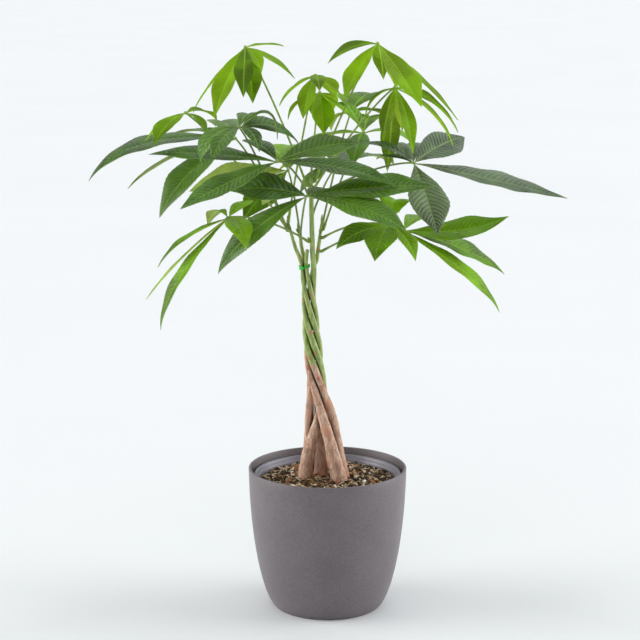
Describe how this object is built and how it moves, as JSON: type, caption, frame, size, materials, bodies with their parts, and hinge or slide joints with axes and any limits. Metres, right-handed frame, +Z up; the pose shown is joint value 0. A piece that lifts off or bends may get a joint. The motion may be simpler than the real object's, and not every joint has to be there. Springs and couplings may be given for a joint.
{
  "type": "potted money tree",
  "caption": "Braided money tree: twisted stems with palmate leaves, rooted in a grow pot that stands in a round tapered cover pot.",
  "frame": {"origin": "centre of the cover pot's flat foot, where it stands", "axes": "+Z up along the trunk, +X to the plant's right and +Y to its back as seen from the front"},
  "size_m": [0.5903, 0.4504, 0.7174],
  "materials": {
    "cover_pot": "fine-grained moulded plastic, mauve grey, soft sheen",
    "grow_pot": "smooth grey plastic",
    "soil": "bark chips, fibre and perlite",
    "stem": "brown bark low down, green bark above",
    "stem_tie": "bright green plastic",
    "leaf_young": "thin yellow-green leaf, translucent",
    "leaf_mid": "mid green leaf with a satin face",
    "leaf_mature": "dark green ribbed leaf with a grey sheen"
  },
  "bodies": {
    "root": {"cover_pot": "cover_pot", "grow_pot": "grow_pot", "soil": "soil", "stem_tie": "stem_tie", "stem_main": "stem", "stem_cut": "stem", "stem_left": "stem", "stem_back": "stem", "stem_right": "stem", "leaf_01": "leaf_young", "leaf_02": "leaf_young", "leaf_03": "leaf_young", "leaf_04": "leaf_young", "leaf_05": "leaf_young", "leaf_06": "leaf_young", "leaf_07": "leaf_mature", "leaf_08": "leaf_mature", "leaf_09": "leaf_mature", "leaf_10": "leaf_mature", "leaf_11": "leaf_mature", "leaf_12": "leaf_mid", "leaf_13": "leaf_mid", "leaf_14": "leaf_mid", "leaf_15": "leaf_mid", "leaf_16": "leaf_mid", "leaf_17": "leaf_mid", "leaf_18": "leaf_mature"}
  },
  "joints": []
}
